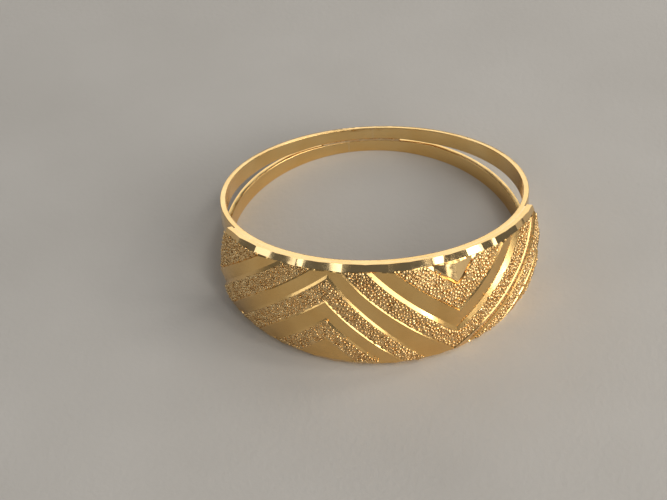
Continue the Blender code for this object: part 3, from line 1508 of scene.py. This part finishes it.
@dataclass(frozen=True)
class SoftBox:
    """A soft rectangular light that faces the ring."""

    name: str
    azimuth: float
    elevation: float
    distance: float
    width: float
    height: float
    brightness: float
    colour: Colour = (1.0, 1.0, 1.0)

    def build(self, target: Vector) -> None:
        """Places the light.

        Args:
            target: the point it faces. Azimuth 0 stands in front of the plate and 90 to its right.
        """
        azimuth, elevation = math.radians(self.azimuth), math.radians(self.elevation)
        level = math.cos(elevation)
        away = Vector((math.sin(azimuth) * level, -math.cos(azimuth) * level, math.sin(elevation)))
        data = bpy.data.lights.new(self.name, "AREA")
        data.shape = "RECTANGLE"
        data.size = self.width
        data.size_y = self.height
        data.energy = self.brightness * self.width * self.height * math.pi
        data.color = self.colour
        lamp = bpy.data.objects.new(self.name, data)
        lamp.location = target + away * self.distance
        lamp.rotation_euler = away.to_track_quat("Z", "Y").to_euler()
        bpy.context.scene.collection.objects.link(lamp)


@dataclass
class Studio:
    """Plain pale floor, soft light and the camera."""

    sizes: RingSizes
    camera_azimuth: float = math.radians(-5.0)
    camera_elevation: float = math.radians(35.08)
    camera_roll: float = math.radians(-1.42)
    camera_distance: float = 110.0 * MM
    aim_right: float = -2.43 * MM
    aim_up: float = -1.836 * MM
    lens: float = 100.87
    sensor_width: float = 36.0
    nearest_seen: float = 5 * MM
    farthest_seen: float = 10.0
    floor_reach: float = 3.0
    world_colour: Colour = (0.92, 0.95, 1.0)
    world_strength: float = 0.14
    lights: tuple[SoftBox, ...] = (
        SoftBox("front_right", 50.0, 20.0, 0.42, 0.44, 0.28, 2.9, (1.0, 0.97, 0.93)),
        SoftBox("right_glint", 58.0, 4.0, 0.42, 0.12, 0.05, 9.0, WARM_WHITE),
        SoftBox("back_card", 178.0, 20.0, 0.45, 0.46, 0.26, 1.15, (1.0, 0.97, 0.93)),
        SoftBox("left_card", -84.0, 14.0, 0.45, 0.16, 0.18, 1.3, (0.95, 0.97, 1.0)),
        SoftBox("left_strip", -58.0, 50.0, 0.42, 0.04, 0.22, 2.2, (0.94, 0.97, 1.0)),
        SoftBox("middle_strip", -24.0, 62.0, 0.42, 0.03, 0.16, 1.6, (0.96, 0.98, 1.0)),
        SoftBox("right_strip_1", 30.0, 60.0, 0.42, 0.035, 0.20, 4.5, WARM_WHITE),
        SoftBox("right_strip_2", 58.0, 52.0, 0.42, 0.05, 0.22, 5.0, WARM_WHITE),
        SoftBox("right_strip_3", 82.0, 44.0, 0.42, 0.06, 0.24, 5.0, WARM_WHITE),
        SoftBox("right_strip_4", 108.0, 38.0, 0.42, 0.06, 0.24, 4.5, WARM_WHITE),
    )

    def build(self, placement: Matrix) -> None:
        """Makes the floor, the light and the camera.

        Args:
            placement: move from the ring frame to the shared frame.
        """
        self.add_floor()
        self.light_world()
        target = (cad_box[0] + cad_box[1]) / 2
        for light in self.lights:
            light.build(target)
        self.add_camera(placement)

    def add_floor(self) -> None:
        """Lays the floor under the ring."""
        reach = self.floor_reach
        ground = cad_box[0].z - MICRON
        mesh = bpy.data.meshes.new("floor")
        signs = ((-1, -1), (1, -1), (1, 1), (-1, 1))
        corners = [(across * reach, along * reach, ground) for across, along in signs]
        mesh.from_pydata(corners, [], [(0, 1, 2, 3)])
        mesh.materials.append(FloorFinish().build())
        floor = bpy.data.objects.new("floor", mesh)
        bpy.context.scene.collection.objects.link(floor)

    def light_world(self) -> None:
        """Sets the dim even light that fills the room."""
        world = bpy.data.worlds.new("studio")
        world.use_nodes = True
        background = world.node_tree.nodes["Background"]
        background.inputs["Color"].default_value = (*self.world_colour, 1.0)
        background.inputs["Strength"].default_value = self.world_strength
        bpy.context.scene.world = world
        bpy.context.scene.view_settings.view_transform = "Standard"

    def add_camera(self, placement: Matrix) -> None:
        """Stands the camera in front of the ring and a little to its left, above it.

        Args:
            placement: move from the ring frame to the shared frame.
        """
        azimuth, elevation, roll = self.camera_azimuth, self.camera_elevation, self.camera_roll
        level = math.cos(elevation)
        back = Vector((math.sin(azimuth) * level, -math.cos(azimuth) * level, math.sin(elevation)))
        right = Vector((math.cos(azimuth), math.sin(azimuth), 0.0))
        up = back.cross(right)
        rolled_right = right * math.cos(roll) + up * math.sin(roll)
        rolled_up = up * math.cos(roll) - right * math.sin(roll)
        aim = rolled_right * self.aim_right + rolled_up * self.aim_up
        place = back * self.camera_distance
        away = (place - aim).normalized()
        across = rolled_up.cross(away).normalized()
        upright = away.cross(across)
        turn = Matrix((across, upright, away)).transposed().to_4x4()
        data = bpy.data.cameras.new("camera")
        data.sensor_width = self.sensor_width
        data.lens = self.lens
        data.clip_start = self.nearest_seen
        data.clip_end = self.farthest_seen
        camera = bpy.data.objects.new("camera", data)
        camera.matrix_world = placement @ Matrix.Translation(place) @ turn
        bpy.context.scene.collection.objects.link(camera)
        bpy.context.scene.camera = camera


def main() -> None:
    """Builds the ring and its studio."""
    logging.basicConfig(level=logging.INFO, format="%(name)s: %(message)s")
    sizes = RingSizes()
    finishes = Finishes()
    placement = RingFrame(sizes).matrix()
    HoopPair(sizes, finishes).build(placement)
    SolderSeams(sizes, finishes).build(placement)
    FrontPlate(sizes, finishes).build(placement)
    Studio(sizes).build(placement)


if __name__ == "__main__":
    main()
